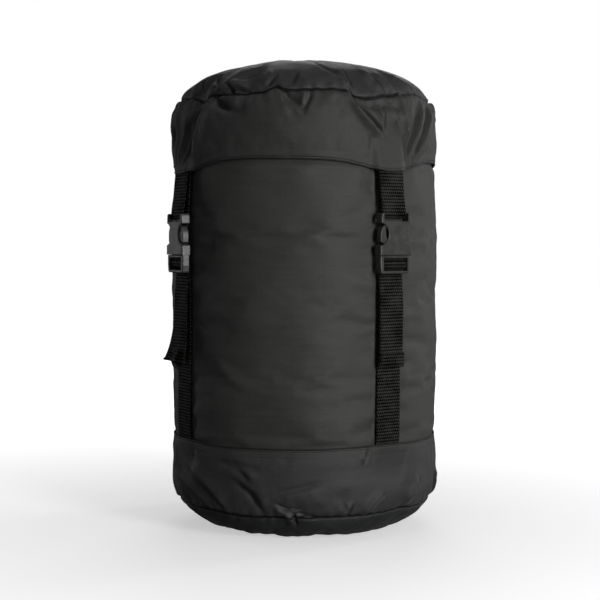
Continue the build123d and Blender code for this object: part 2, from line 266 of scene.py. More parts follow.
def nylon(name, colour, sheen=0.10, rough=(0.46, 0.62), seam=None, stitched=None):
    """Plain-woven nylon: fine over-and-under threads, a faint ripstop grid and soft crumples.

    seam is the distance from the middle of a round panel to its sewn edge, or 0 for a band,
    whose sewn edge is where its along coordinate starts; painted shade darkens the colour along
    that edge. stitched is how far along a stitch line runs beside a folded edge; painted shade
    darkens the colour along that line and along the folded edge.
    """
    thread, ripstop, grid_line = 0.55 * MM, 5.2 * MM, 0.985  # pitches, and where a grid line starts
    shader = Shader(name, Sheen_Weight=sheen, Sheen_Roughness=0.42, Specular_IOR_Level=0.42)
    place, across, along = shader.uv()
    weave = shader.math("MULTIPLY", shader.wave(across, thread), shader.wave(along, thread))
    warp = shader.math("GREATER_THAN", shader.wave(across, ripstop), grid_line)
    weft = shader.math("GREATER_THAN", shader.wave(along, ripstop), grid_line)
    grid = shader.math("MAXIMUM", warp, weft)
    slub = shader.noise(place, 9 * MM, stretch=(0.22, 2.2, 1))
    crumple = shader.noise(place, 16 * MM, detail=4, stretch=(0.45, 1.1, 1))
    patch = shader.noise(place, 38 * MM, detail=5)
    flecks = shader.noise(place, 2.2 * MM, detail=3, stretch=(0.5, 1.6, 1))
    mottle_and_painted_shade = shader.math("ADD", patch, shader.math("MULTIPLY", slub, 0.35))
    mottle_and_painted_shade = shader.math("ADD", mottle_and_painted_shade, shader.math("MULTIPLY", flecks, 0.5))
    # painted shade: the colour is darker along the sewn edge
    if seam is not None:
        from_edge = shader.math("ABSOLUTE", shader.math("SUBTRACT", shader.length(place), seam))
        from_edge = from_edge if seam else shader.math("ABSOLUTE", along)
        shade = shader.spread(from_edge, 0.5 * MM, 1.1 * MM, 1.0, 0.0)
        mottle_and_painted_shade = shader.math("SUBTRACT", mottle_and_painted_shade, shade)
    # painted shade: the colour is darker along the stitch line and the folded edge
    if stitched is not None:
        from_line = shader.math("ABSOLUTE", shader.math("SUBTRACT", along, stitched))
        from_line = shader.math("MINIMUM", from_line, shader.math("ABSOLUTE", along))
        shade = shader.spread(from_line, 0.5 * MM, 1.0 * MM, 1.0, 0.0)
        mottle_and_painted_shade = shader.math("SUBTRACT", mottle_and_painted_shade, shade)
    shader.colours(
        mottle_and_painted_shade,
        (0.0, scaled(colour, 0.12)),
        (0.62, scaled(colour, 0.80)),
        (1.0, scaled(colour, 1.14)),
    )
    shader.rough(shader.spread(patch, 0.3, 0.7, *rough))
    shader.relief(
        (crumple, 0.5 * MM), (slub, 0.12 * MM), (grid, 0.035 * MM), (weave, 0.03 * MM)
    )
    return shader.material


def ribbed_webbing():
    """Flat polypropylene webbing: crosswise ribs, each a row of small humps, and worn ridges, with painted
    shade between the ribs and humps.
    """
    shader = Shader("webbing", Sheen_Weight=0.03, Sheen_Roughness=0.5)
    place, across, along = shader.uv()
    rib = shader.wave(along, RIB)
    lean = shader.math("ADD", across, shader.math("MULTIPLY", along, 0.4))
    humps = shader.wave(lean, 0.8 * RIB)
    fibres = shader.noise(place, 0.5 * MM, detail=2, stretch=(1, 0.35, 1))
    worn = shader.noise(place, 14 * MM, detail=4)
    # painted shade: the rib and hump waves darken the colour between the ribs and humps
    tone = shader.math("ADD", shader.math("MULTIPLY", rib, 0.24), worn)
    tone = shader.math("ADD", tone, shader.math("MULTIPLY", humps, 0.16))
    tone = shader.math("ADD", tone, shader.spread(fibres, 0.3, 0.7, -0.12, 0.12))
    shader.colours(
        tone,
        (0.30, (0.0006, 0.0006, 0.0005)),
        (0.55, (0.0050, 0.0050, 0.0040)),
        (0.85, (0.034, 0.034, 0.027)),
    )
    shader.rough(shader.spread(worn, 0.3, 0.7, 0.50, 0.66))
    # painted shade: less specular between the ribs and humps
    gloss = shader.spread(tone, 0.25, 0.85, 0.0, 0.42)
    shader.links.new(gloss, shader.base.inputs["Specular IOR Level"])
    shader.relief((humps, 0.22 * MM), (fibres, 0.06 * MM))
    return shader.material


def moulded_plastic(name="buckle_plastic", colour=(0.064, 0.064, 0.061)):
    """Satin acetal with the fine spark-eroded grain of its mould and lighter scuffs."""
    shader = Shader(name, Specular_IOR_Level=0.55)
    place = shader.object_place()
    grain = shader.noise(place, 0.5 * MM, detail=2)
    scuff = shader.noise(place, 7 * MM, detail=8, rough=0.72)
    shader.colours(scuff, (0.40, scaled(colour, 0.85)), (0.72, scaled(colour, 1.35)))
    shader.rough(shader.spread(scuff, 0.35, 0.7, 0.30, 0.46))
    shader.relief((grain, 0.035 * MM), (scuff, 0.03 * MM))
    return shader.material


def enamelled_metal():
    shader = Shader("eyelet_metal", Metallic=0.7, Specular_IOR_Level=0.5)
    place = shader.object_place()
    chipped = shader.noise(place, 2 * MM, detail=6, rough=0.7)
    shader.colours(chipped, (0.45, (0.02, 0.02, 0.02)), (0.75, (0.09, 0.085, 0.08)))
    shader.rough(shader.spread(chipped, 0.3, 0.7, 0.25, 0.45))
    shader.relief((chipped, 0.05 * MM))
    return shader.material


def sewing_thread():
    """Bonded two-ply thread."""
    shader = Shader("thread", Sheen_Weight=0.15, Specular_IOR_Level=0.4)
    place = shader.object_place()
    ply = shader.noise(place, 0.35 * MM, detail=2)
    shader.colours(ply, (0.3, (0.006, 0.006, 0.006)), (0.8, (0.020, 0.020, 0.019)))
    shader.rough(shader.spread(ply, 0.3, 0.7, 0.5, 0.7))
    shader.relief((ply, 0.12 * MM))
    return shader.material


def studio_floor():
    """Pale paper with a painted glow that grows further from the sack, so that it fades to the white behind
    it, with only a soft shadow under the sack.
    """
    shader = Shader("studio_floor", Specular_IOR_Level=0.1, Emission_Color=(1, 1, 1, 1))
    place = shader.object_place()
    tone = shader.noise(place, 0.6, detail=2)
    shader.colours(tone, (0.3, (0.84, 0.84, 0.84)), (0.7, (0.88, 0.88, 0.88)))
    shader.rough(shader.spread(tone, 0.3, 0.7, 0.7, 0.8))
    # painted light: the floor glows, more strongly further from the sack
    glow = shader.spread(shader.length(place), 0.12, 0.9, 0.5, 1.0)
    shader.links.new(glow, shader.base.inputs["Emission Strength"])
    return shader.material


NYLON_BODY = nylon("body_nylon", (0.050, 0.050, 0.047))
# the seam= materials have painted shade darkening the colour along their sewn seam
NYLON_CAP_PANEL = nylon("cap_panel_nylon", (0.036, 0.0365, 0.035), sheen=0.10, seam=CAP_SEAM_R)
NYLON_CAP = nylon("cap_nylon", (0.043, 0.0435, 0.041), sheen=0.09, seam=0.0)
NYLON_BASE = nylon("base_nylon", (0.041, 0.042, 0.040), sheen=0.11, seam=0.0)
NYLON_DISC = nylon(
    "base_panel_nylon", (0.028, 0.029, 0.029), sheen=0.05, rough=(0.5, 0.68), seam=BASE_SEAM_R
)
BINDING = nylon("binding", (0.043, 0.0435, 0.041), sheen=0.10)
HEM_STITCH = 1.6 * MM  # how far a hem's stitch line stands from its folded edge
# painted shade darkens the hem's colour along its stitch line and folded edge
NYLON_HEM = nylon("hem_nylon", (0.043, 0.0435, 0.041), sheen=0.10, stitched=HEM_STITCH)
WEBBING = ribbed_webbing()
PLASTIC = moulded_plastic()
METAL = enamelled_metal()
THREAD_BLACK = sewing_thread()


# ---- mesh helpers ------------------------------------------------------------------------------
def make_piece(name, points, faces, material, uv=None):
    """A smooth mesh object. uv holds one (across, along) pair per point, in metres."""
    mesh = bpy.data.meshes.new(name)
    mesh.from_pydata([tuple(p) for p in points], [], [tuple(f) for f in faces])
    mesh.update()
    mesh.shade_smooth()
    mesh.materials.append(material)
    if uv is not None:
        write_uv(mesh, np.asarray(uv, float))
    piece = bpy.data.objects.new(name, mesh)
    bpy.context.scene.collection.objects.link(piece)
    return piece


def write_uv(mesh, uv):
    """Copies a pair per point to the faces' corners, and closes the pattern behind the sack."""
    corner_point = np.zeros(len(mesh.loops), int)
    mesh.loops.foreach_get("vertex_index", corner_point)
    corner_uv = uv[corner_point]
    starts = np.zeros(len(mesh.polygons), int)
    mesh.polygons.foreach_get("loop_start", starts)
    totals = np.zeros(len(mesh.polygons), int)
    mesh.polygons.foreach_get("loop_total", totals)
    face_of = np.repeat(np.arange(len(starts)), totals)
    high = np.full(len(starts), -1e9)
    np.maximum.at(high, face_of, corner_uv[:, 0])
    behind = corner_uv[:, 0] < high[face_of] - GIRTH / 2
    corner_uv[behind, 0] += GIRTH
    layer = mesh.uv_layers.new(name="cloth")
    layer.data.foreach_set("uv", corner_uv.astype(np.float32).ravel())


def points_of(mesh):
    points = np.zeros(len(mesh.vertices) * 3)
    mesh.vertices.foreach_get("co", points)
    return points.reshape(-1, 3)


def set_points(mesh, points):
    mesh.vertices.foreach_set("co", points.astype(np.float32).ravel())
    mesh.update()


def normals_of(mesh):
    normals = np.zeros(len(mesh.vertices) * 3, np.float32)
    mesh.vertices.foreach_get("normal", normals)
    return normals.reshape(-1, 3).astype(float)


def grid_faces(rows, columns, closed=True, first=0):
    """Quads of a grid of points laid out row by row, each row going once round if closed."""
    faces = []
    last = columns if closed else columns - 1
    for row in range(rows - 1):
        for column in range(last):
            right = (column + 1) % columns
            a, b = first + row * columns, first + (row + 1) * columns
            faces.append((a + column, a + right, b + right, b + column))
    return faces


def bump(distance, width):
    """A smooth bump: 1 at distance 0, and 0.37 at width."""
    return np.exp(-((distance / width) ** 2))


def angles_of(points):
    return np.arctan2(points[:, 0], -points[:, 1])


def all_round(columns):
    """Evenly spaced angles, once round the sack from the back."""
    return np.linspace(-math.pi, math.pi, columns, endpoint=False)


def wrapped_uv(angle, along, radius=None):
    """Cloth coordinates for flat arrays of angle and distance along."""
    return np.stack([(angle + math.pi) * (radius or SACK_R), along], axis=1)


def polar(angle, radius, height):
    """Points on the sack from arrays of angle, radius and height."""
    angle, radius, height = np.broadcast_arrays(angle, radius, height)
    across = radius * np.sin(angle)
    deep = -radius * np.cos(angle)
    return np.stack([across, deep, height], axis=-1).reshape(-1, 3)


def add_modifier(piece, kind, **settings):
    modifier = piece.modifiers.new(kind.lower(), kind)
    for key, value in settings.items():
        setattr(modifier, key, value)
    return modifier


def bake_modifiers(piece):
    """Replaces the piece's mesh with what its modifiers make of it."""
    graph = bpy.context.evaluated_depsgraph_get()
    mesh = bpy.data.meshes.new_from_object(piece.evaluated_get(graph), depsgraph=graph)
    piece.modifiers.clear()
    piece.data = mesh


def thicken(piece, thickness=CLOTH_T):
    """Gives cloth its thickness, inwards, and closes its edges."""
    add_modifier(piece, "SOLIDIFY", thickness=thickness, offset=-1.0)
    bake_modifiers(piece)
    piece.data.shade_smooth()


def take_part(piece, name, keep_slot, material):
    """A new piece from the faces that have one material index."""
    mesh = piece.data
    points = points_of(mesh)
    layer = np.zeros(len(mesh.loops) * 2, np.float32)
    mesh.uv_layers["cloth"].data.foreach_get("uv", layer)
    layer = layer.reshape(-1, 2)
    faces, kept_uv = [], []
    for polygon in mesh.polygons:
        if polygon.material_index == keep_slot:
            faces.append(tuple(polygon.vertices))
            kept_uv.extend(layer[list(polygon.loop_indices)])
    used = sorted({index for face in faces for index in face})
    new_index = {old: new for new, old in enumerate(used)}
    faces = [tuple(new_index[i] for i in face) for face in faces]
    part = make_piece(name, points[used], faces, material)
    uv_layer = part.data.uv_layers.new(name="cloth")
    uv_layer.data.foreach_set("uv", np.array(kept_uv, np.float32).ravel())
    return part


def relief_noise(angle, height, seed, around, up, waves=26):
    """Smooth random relief from about -1 to 1 that closes round the sack.

    around and up are how far apart its humps stand, in metres.
    """
    random = np.random.default_rng(seed)
    total = np.zeros(np.broadcast(angle, height).shape)
    for _ in range(waves):
        turns = round(random.normal() * 2.2 * SACK_R / around)
        climb = random.normal() * 2.2 / up
        total += np.cos(turns * angle + climb * height + random.uniform(0, 2 * math.pi))
    return total * math.sqrt(1 / waves)


def angle_from(angle, centre):
    """The signed angle from centre, between -pi and pi."""
    return (angle - centre + math.pi) % (2 * math.pi) - math.pi


def near_straps(angle, half_width):
    """1 on each strap's middle line, falling smoothly to 0 over half_width metres or so."""
    total = 0.0
    for centre in STRAPS.values():
        total = total + bump(angle_from(angle, centre) * SACK_R, half_width)
    return total


def over_strap(angle, margin=2.2 * MM):
    """1 over the whole width of a strap and 0 beyond its edges, with a short ramp."""
    total = 0.0
    for centre in STRAPS.values():
        away = np.abs(angle_from(angle, centre)) * SACK_R - WEB_W / 2
        total = total + np.clip(1 - (away - 0.5 * MM) / (2 * margin), 0, 1) ** 2
    return np.minimum(total, 1.0)


FOLD_DEPTH = 1.6  # how much deeper all folds are than their listed depths


class Crease:
    """A fold between two points of the sack's surface: a valley with a crest along one side.

    Each end is (angle in degrees, height in mm), and depth and width are in mm. The crest is on
    the right of the way from start to end, and bow bends the fold to that side by a share of its
    length. A negative depth makes a ridge.
    """

    def __init__(self, start, end, depth, width, ridge=0.7, bow=0.0):
        self.start, self.end = start, end
        self.depth, self.width = depth * MM, width * MM
        self.ridge, self.bow = ridge, bow

    def push(self, angle, height):
        """How far it moves each point outwards: a sharp valley, and a crest that falls off slowly."""
        a0, a1 = math.radians(self.start[0]), math.radians(self.end[0])
        h0, h1 = self.start[1] * MM, self.end[1] * MM
        x, y = angle_from(angle, a0) * SACK_R, height - h0
        dx, dy = (a1 - a0) * SACK_R, h1 - h0
        length = math.hypot(dx, dy)
        share = (x * dx + y * dy) / length**2
        bow = self.bow * length * np.clip(4 * share * (1 - share), 0, 1)
        side = (x * dy - y * dx) / length - bow
        beyond = length * np.maximum(share - 1, -share)
        ends = bump(np.clip(beyond, 0, None), 1.5 * self.width)
        swell = ends * np.clip(0.25 + 1.2 * np.sin(math.pi * np.clip(share, 0, 1)), 0, 1)
        valley = bump(side, self.width)
        past_crest = side - 2.2 * self.width
        crest_width = np.where(past_crest < 0, 1.2, 3.6) * self.width
        crest = self.ridge * bump(past_crest, crest_width)
        return FOLD_DEPTH * self.depth * swell * (crest - valley)


# ---- cloth simulation --------------------------------------------------------------------------
def settle(piece, hold, pressure, growth, reach, along, frames=20, stiffness=12.0):
    """Lets the cloth fill out and wrinkle, and keeps each point within reach of its start.

    hold is how firmly each point is held, from 0 to 1. growth is how much cloth there is to spare.
    along is each point's distance up the piece, used to take away a swelling that is even all round.
    """
    start = points_of(piece.data)
    group = piece.vertex_groups.new(name="hold")
    for index, weight in enumerate(hold):
        if weight > 0:
            group.add([index], float(weight), "REPLACE")
    modifier = piece.modifiers.new("cloth", "CLOTH")
    cloth = modifier.settings
    cloth.quality = 6
    cloth.mass = 0.12
    cloth.tension_stiffness = cloth.compression_stiffness = stiffness
    cloth.shear_stiffness = 4.0
    cloth.bending_stiffness = 0.25
    cloth.vertex_group_mass = "hold"
    cloth.pin_stiffness = 1.0
    cloth.shrink_min = -growth
    cloth.use_pressure = True
    cloth.uniform_pressure_force = pressure
    cloth.effector_weights.gravity = 0
    modifier.point_cache.frame_start = 1
    modifier.point_cache.frame_end = frames
    scene = bpy.context.scene
    for number in range(1, frames + 1):
        scene.frame_set(number)
    graph = bpy.context.evaluated_depsgraph_get()
    moved = points_of(piece.evaluated_get(graph).data)
    piece.modifiers.clear()
    piece.vertex_groups.clear()
    scene.frame_set(1)
    change = wrinkles_only(moved - start, normals_of(piece.data), along)
    far = np.linalg.norm(change, axis=1, keepdims=True)
    change *= np.minimum(1, reach / np.maximum(far, 1e-9))
    set_points(piece.data, start + change)


def wrinkles_only(change, outwards, along, kept=0.12):
    """The movement without most of the swelling that all points at one level share."""
    swell = (change * outwards).sum(axis=1)
    levels = np.linspace(along.min(), along.max(), 24)
    blur = levels[1] - levels[0]
    shared = [np.average(swell, weights=bump(along - v, blur)) for v in levels]
    return change - outwards * (np.interp(along, levels, shared) * (1 - kept))[:, None]


def subdivide(piece, times=1):
    add_modifier(piece, "SUBSURF", levels=times, render_levels=times)
    bake_modifiers(piece)


# ---- a sewn end: round panel, seam and side band ------------------------------------------------
RINGS = 46  # cells across the round panel: the panel's edge has 4 times as many points
AROUND = 4 * RINGS
EDGE_CROWDING = 1.35  # more than 1 draws the mesh's rows together near the seam


def square_to_disc(cells):
    """Points of a square grid drawn onto a unit disc, as (angle, radius) for each grid point."""
    line = np.linspace(-1, 1, cells + 1)
    u, v = np.meshgrid(line, line, indexing="ij")
    wide = np.abs(u) > np.abs(v)
    safe_u, safe_v = np.where(u == 0, 1, u), np.where(v == 0, 1, v)
    radius = np.where(wide, u, v)
    turn = np.where(wide, math.pi / 4 * v / safe_u, math.pi / 2 - math.pi / 4 * u / safe_v)
    radius_sign = np.where(radius < 0, math.pi, 0)
    return turn + radius_sign, np.abs(radius)


def disc_rim(cells):
    """The grid positions round the square's edge, in order."""
    n = cells
    rim = [(i, 0) for i in range(n)] + [(n, j) for j in range(n)]
    rim += [(i, n) for i in range(n, 0, -1)] + [(0, j) for j in range(n, 0, -1)]
    return rim


def sewn_end(name, panel, band, rows, up):
    """One mesh: a round panel (material 0) and the band sewn round it (material 1).

    panel(angle, share) and band(angle, share) give (radius, height, distance below the seam).
    up is 1 when the panel is on top, and -1 when it is underneath. Also returns how far down the
    band each point is, from 0 at the seam to 1 at the hem.
    """
    turn, reach = square_to_disc(RINGS)
    reach = 1 - (1 - reach) ** EDGE_CROWDING
    radius, height, below = panel(turn, reach)
    panel_points = polar(turn, radius, height)
    panel_below = np.broadcast_to(below, turn.shape).ravel()
    side = RINGS + 1
    faces = []
    for i in range(RINGS):
        for j in range(RINGS):
            a = i * side + j
            faces.append((a, a + side, a + side + 1, a + 1))
    rim = [i * side + j for i, j in disc_rim(RINGS)]
    rim_angle = np.array([math.atan2(*panel_points[k][:2] * (1, -1)) for k in rim])
    share = ((np.arange(1, rows + 1) / rows) ** EDGE_CROWDING)[:, None]
    band_r, band_h, band_below = band(rim_angle[None, :], share)
    band_points = polar(rim_angle[None, :], band_r, band_h)
    first = len(panel_points)
    for k in range(AROUND):
        nxt = (k + 1) % AROUND
        faces.append((rim[nxt], rim[k], first + k, first + nxt))
    faces += [tuple(reversed(f)) for f in grid_faces(rows, AROUND, first=first)]
    if up < 0:
        faces = [tuple(reversed(f)) for f in faces]
    points = np.vstack([panel_points, band_points])
    shown_angle = angles_of(points)
    below_all = np.concatenate(
        [panel_below, np.broadcast_to(band_below, (rows, AROUND)).ravel()]
    )
    band_uv = wrapped_uv(shown_angle, below_all)
    piece = make_piece(name, points, faces, NYLON_CAP)
    mesh = piece.data
    slots = np.zeros(len(faces), int)
    slots[RINGS * RINGS:] = 1
    mesh.materials.append(NYLON_CAP)
    mesh.polygons.foreach_set("material_index", slots)
    corner_uv = np.zeros((len(mesh.loops), 2))
    for polygon in mesh.polygons:
        indices = list(polygon.vertices)
        if polygon.material_index == 1:
            pairs = band_uv[indices]
            pairs[pairs[:, 0] < pairs[:, 0].max() - GIRTH / 2, 0] += GIRTH
        else:
            pairs = points[indices, :2]
        corner_uv[list(polygon.loop_indices)] = pairs
    layer = mesh.uv_layers.new(name="cloth")
    layer.data.foreach_set("uv", corner_uv.astype(np.float32).ravel())
    store = mesh.attributes.new("below_seam", "FLOAT", "POINT")
    store.data.foreach_set("value", below_all.astype(np.float32))
    down_band = np.concatenate([np.zeros(first), np.repeat(share.ravel(), AROUND)])
    return piece, down_band


def below_seam_of(mesh):
    below = np.zeros(len(mesh.vertices), np.float32)
    mesh.attributes["below_seam"].data.foreach_get("value", below)
    return below.astype(float)


def let_fill(piece, down_band, growth, reach, flat_r=0):
    """Settles a sewn end, held at its hem, at the straps, a little at its seam, and within flat_r."""
    hem_starts, straps_start = 0.86, 0.35  # as shares of the way down the band
    points, below = points_of(piece.data), below_seam_of(piece.data)
    radius = np.hypot(points[:, 0], points[:, 1])
    at_strap = over_strap(angles_of(points), 4 * MM) * (down_band - straps_start)
    hold = np.where((radius < flat_r) | (down_band > hem_starts), 1.0, 0.0)
    hold = np.maximum(hold, np.maximum(0.5 * bump(below, 3 * MM), 1.6 * at_strap))
    settle(piece, np.clip(hold, 0, 1), pressure=3.0, growth=growth, reach=reach, along=below)
    subdivide(piece, 2)


def dress_seam(piece, seam_rise, creases, seed, gather):
    """Seam groove, small gathers on both sides of it, the large folds, and fine wrinkles."""
    mesh = piece.data
    points, normals, below = points_of(mesh), normals_of(mesh), below_seam_of(mesh)
    angle = angles_of(points)
    far = np.abs(below)
    rise = seam_rise(angle) * bump(far, 13 * MM)
    gathers = relief_noise(angle, 0 * below, seed, 15 * MM, 1.0, waves=40)
    tight = relief_noise(angle, 0 * below, seed + 1, 7 * MM, 1.0, waves=40)
    where = 0.5 + 0.5 * relief_noise(angle, 0 * below, seed + 2, 60 * MM, 1.0)
    reach = 9 * MM + 9 * MM * np.clip(where, 0, 1)
    push = gather * gathers * np.clip(where, 0.15, 1.2) * np.exp(-((far / reach) ** 1.4))
    push += 0.4 * gather * tight * bump(far, 5 * MM)
    push -= 2.5 * MM * bump(far, 0.8 * MM)
    push += 0.35 * MM * bump(far - 3 * MM, 2.5 * MM)
    for crease in creases:
        push += crease.push(angle, points[:, 2])
    push += 0.35 * MM * relief_noise(angle, below, seed + 3, 26 * MM, 14 * MM)
    points += normals * push[:, None]
    points[:, 2] += rise
    set_points(mesh, points)


# ---- cap ---------------------------------------------------------------------------------------
def cap_radius(height):
    """The cap's radius at a height: upright below its shoulder, and rounded above."""
    rise = np.clip((height - CAP_SHOULDER_Z) / (CAP_TOP_Z - CAP_SHOULDER_Z), 0, 1)
    return SACK_R * (1 - rise**CAP_POWER) ** (1 / CAP_POWER)


def cap_height(radius):
    share = np.clip(radius / SACK_R, 0, 1)
    rise = (1 - share**CAP_POWER) ** (1 / CAP_POWER)
    return CAP_SHOULDER_Z + (CAP_TOP_Z - CAP_SHOULDER_Z) * rise


def cap_hem(angle):
    """Height of the cap's lower edge, which the straps pull down into scallops."""
    ripple = 0.5 * MM * relief_noise(angle, 0 * angle, 5, 60 * MM, 1.0)
    pulled = 9.5 * MM * near_straps(angle, math.radians(18) * SACK_R)
    return CAP_HEM_Z + 2.4 * MM + ripple - pulled


def cap_panel(angle, share):
    radius = share * (CAP_SEAM_R - 0.5 * MM)
    on_left = bump(angle_from(angle, LEFT_SIDE), 1.0)
    sag = (1.2 + 1.4 * on_left) * MM * np.sin(math.pi * share) ** 2
    return radius, cap_height(radius) - sag, radius - CAP_SEAM_R


def cap_band(angle, share):
    hem = cap_hem(angle)
    height = CAP_SEAM_Z - share * (CAP_SEAM_Z - hem)
    drawn_in = 1.2 * MM * np.clip((share - 0.35) / 0.65, 0, 1) ** 1.5
    over_webbing = 5.0 * MM * over_strap(angle, 3 * MM) * np.clip((share - 0.45) / 0.55, 0, 1) ** 1.2
    return cap_radius(height) - drawn_in + over_webbing, height, CAP_SEAM_Z - height


def cap_seam_rise(angle):
    """The seam wanders up and down where the cloth is gathered into it."""
    rise = 0.9 * MM * relief_noise(angle, 0 * angle, 21, 34 * MM, 1.0)
    for centre, height, width in ((0, 3.8, 3), (-38, -4.5, 4), (18, 1.5, 9), (39, -4.5, 8), (71, 3.5, 8)):
        away = angle_from(angle, math.radians(centre))
        rise = rise + height * MM * bump(away, math.radians(width))
    return rise


CAP_CREASES = [
    # left of the middle: a tuck over the seam with a bright crest above it
    Crease((-13, 373), (-30, 370), 2.2, 1.5, ridge=1.2, bow=0.1),
    Crease((-15, 357), (-29, 367), 1.8, 3.4, ridge=0.5, bow=-0.1),
    Crease((-9, 391), (-26, 379), 1.0, 3.0, ridge=1.2),
    Crease((-20, 372), (-24, 381), 1.4, 1.5, ridge=0.9),
    # the middle: a peak of cloth and a shallow triangle below it
    Crease((12, 355), (2, 370), 1.5, 2.2, ridge=0.8, bow=0.08),
    Crease((15, 369), (12, 355), 1.3, 2.2, ridge=0.5),
    Crease((0, 386), (-4, 373), 1.0, 2.6, ridge=0.8),
    Crease((6, 376), (9, 389), 0.8, 2.6, ridge=0.8),
    # the long diagonal tuck towards the right strap
    Crease((30, 384), (34, 368), 1.6, 1.3, ridge=1.0),
    Crease((33, 370), (47, 337), 2.4, 1.3, ridge=1.1, bow=0.06),
    Crease((40, 366), (46, 346), 1.2, 1.4, ridge=0.9),
    Crease((47, 364), (47, 338), 1.6, 1.2, ridge=1.0),
    Crease((52, 369), (55, 346), 1.9, 1.3, ridge=1.0),
    Crease((58, 383), (61, 340), 2.4, 1.3, ridge=1.2, bow=-0.04),
    Crease((59, 318), (71, 364), 1.8, 1.9, ridge=1.3, bow=-0.05),
    Crease((63, 316), (81, 366), 2.0, 2.0, ridge=1.3, bow=-0.06),
    # above the left strap: long upright folds that gather into it
    Crease((-53, 315), (-42, 367), 2.2, 1.5, ridge=1.1, bow=-0.05),
    Crease((-46, 313), (-36, 364), 1.6, 1.7, ridge=1.1, bow=0.04),
    Crease((-58, 316), (-57, 370), 1.6, 1.6, ridge=1.1),
    Crease((-61, 318), (-68, 368), 1.8, 1.6, ridge=1.0, bow=0.05),
    # hollows under the seam where the cloth is gathered most
    Crease((37, 366), (58, 361), 2.6, 5.5, ridge=0.1),
    Crease((-30, 366), (-20, 362), 2.2, 4.5, ridge=0.1),
    Crease((3, 366), (13, 364), 1.8, 4.5, ridge=0.1),
    # the round panel
    Crease((20, 400), (28, 386), 1.2, 2.4, ridge=0.9),
    Crease((32, 393), (34, 378), 1.8, 1.4, ridge=1.0),
    Crease((44, 394), (50, 378), 2.0, 1.5, ridge=1.0),
    Crease((52, 392), (57, 377), 1.7, 1.5, ridge=1.0),
    Crease((62, 394), (69, 376), 2.0, 1.7, ridge=1.0),
    Crease((-38, 389), (-28, 378), 1.2, 1.8, ridge=1.0),
    Crease((-52, 389), (-44, 377), 1.2, 1.8, ridge=1.0),
    # behind
    Crease((112, 371), (124, 340), 2.0, 1.6, ridge=1.0),
    Crease((150, 369), (136, 328), 2.0, 1.6, ridge=1.0, bow=0.05),
    Crease((172, 372), (186, 360), 1.8, 2.0, ridge=0.9),
    Crease((190, 385), (196, 373), 1.2, 1.8, ridge=0.9),
    Crease((204, 370), (222, 334), 2.0, 1.6, ridge=1.0, bow=-0.05),
    Crease((246, 371), (235, 320), 2.0, 1.6, ridge=1.0),
    Crease((262, 375), (280, 362), 1.8, 2.2, ridge=0.9),
    Crease((96, 372), (86, 346), 1.8, 1.6, ridge=1.0),
    Crease((128, 388), (120, 376), 1.2, 1.8, ridge=0.9),
]


def make_cap():
    cap, down_band = sewn_end("cap_cloth", cap_panel, cap_band, rows=14, up=1)
    let_fill(cap, down_band, growth=0.022, reach=5 * MM)
    dress_seam(cap, cap_seam_rise, CAP_CREASES, seed=31, gather=1.0 * MM)
    panel = take_part(cap, "cap_disc_cloth", 0, NYLON_CAP_PANEL)
    band = take_part(cap, "cap_band_cloth", 1, NYLON_CAP)
    bpy.data.objects.remove(cap)
    return panel, band


# ---- base --------------------------------------------------------------------------------------
def base_hem(angle):
    """Height of the base band's upper edge."""
    ripple = 0.5 * MM * relief_noise(angle, 0 * angle, 8, 60 * MM, 1.0)
    return BASE_HEM_Z - 0.6 * MM + ripple + 1.6 * MM * near_straps(angle, 30 * MM)


def base_corner(share):
    """(radius, height) on the rounded corner, from the flat patch at 0 to upright at 1."""
    turn = share * math.pi / 2
    return (
        BASE_FLAT_R + (SACK_R - BASE_FLAT_R) * np.sin(turn),
        BASE_CORNER_Z * (1 - np.cos(turn)),
    )


BASE_LIFT_R = 76 * MM  # where the base panel leaves the ground when it is pulled straight
BASE_SEAM_SHARE = math.acos(1 - BASE_SEAM_Z / BASE_CORNER_Z) / (math.pi / 2)


def base_panel(angle, share):
    radius = share * (BASE_SEAM_R - 0.6 * MM)
    swing = np.clip((radius - BASE_FLAT_R) / (SACK_R - BASE_FLAT_R), 0, 1)
    corner = BASE_CORNER_Z * (1 - np.sqrt(1 - swing**2))
    lifted = np.clip((radius - BASE_LIFT_R) / (BASE_SEAM_R - BASE_LIFT_R), 0, 1)
    taut = BASE_SEAM_Z * lifted**1.15
    slack = 0.08 + 0.72 * bump(angle_from(angle, LEFT_SIDE), 0.8)
    slack = slack + 0.32 * bump(angle_from(angle, -LEFT_SIDE), 0.8)
    return radius, corner + (taut - corner) * slack, radius - BASE_SEAM_R


def base_band(angle, share):
    corner = 0.3  # the share of the band that is still on the rounded corner
    on_corner = np.clip(share / corner, 0, 1)
    radius, height = base_corner(BASE_SEAM_SHARE + (1 - BASE_SEAM_SHARE) * on_corner)
    up = np.clip((share - corner) / (1 - corner), 0, 1)
    height = height + up * (base_hem(angle) - BASE_CORNER_Z)
    drawn_in = 0.9 * MM * up**2
    radius = radius - drawn_in + 1.1 * MM * over_strap(angle) * np.clip(2.2 * up - 1.2, 0, 1)
    return radius, height, height - BASE_SEAM_Z + 0 * angle


def base_seam_rise(angle):
    return 1.1 * MM * relief_noise(angle, 0 * angle, 41, 40 * MM, 1.0)


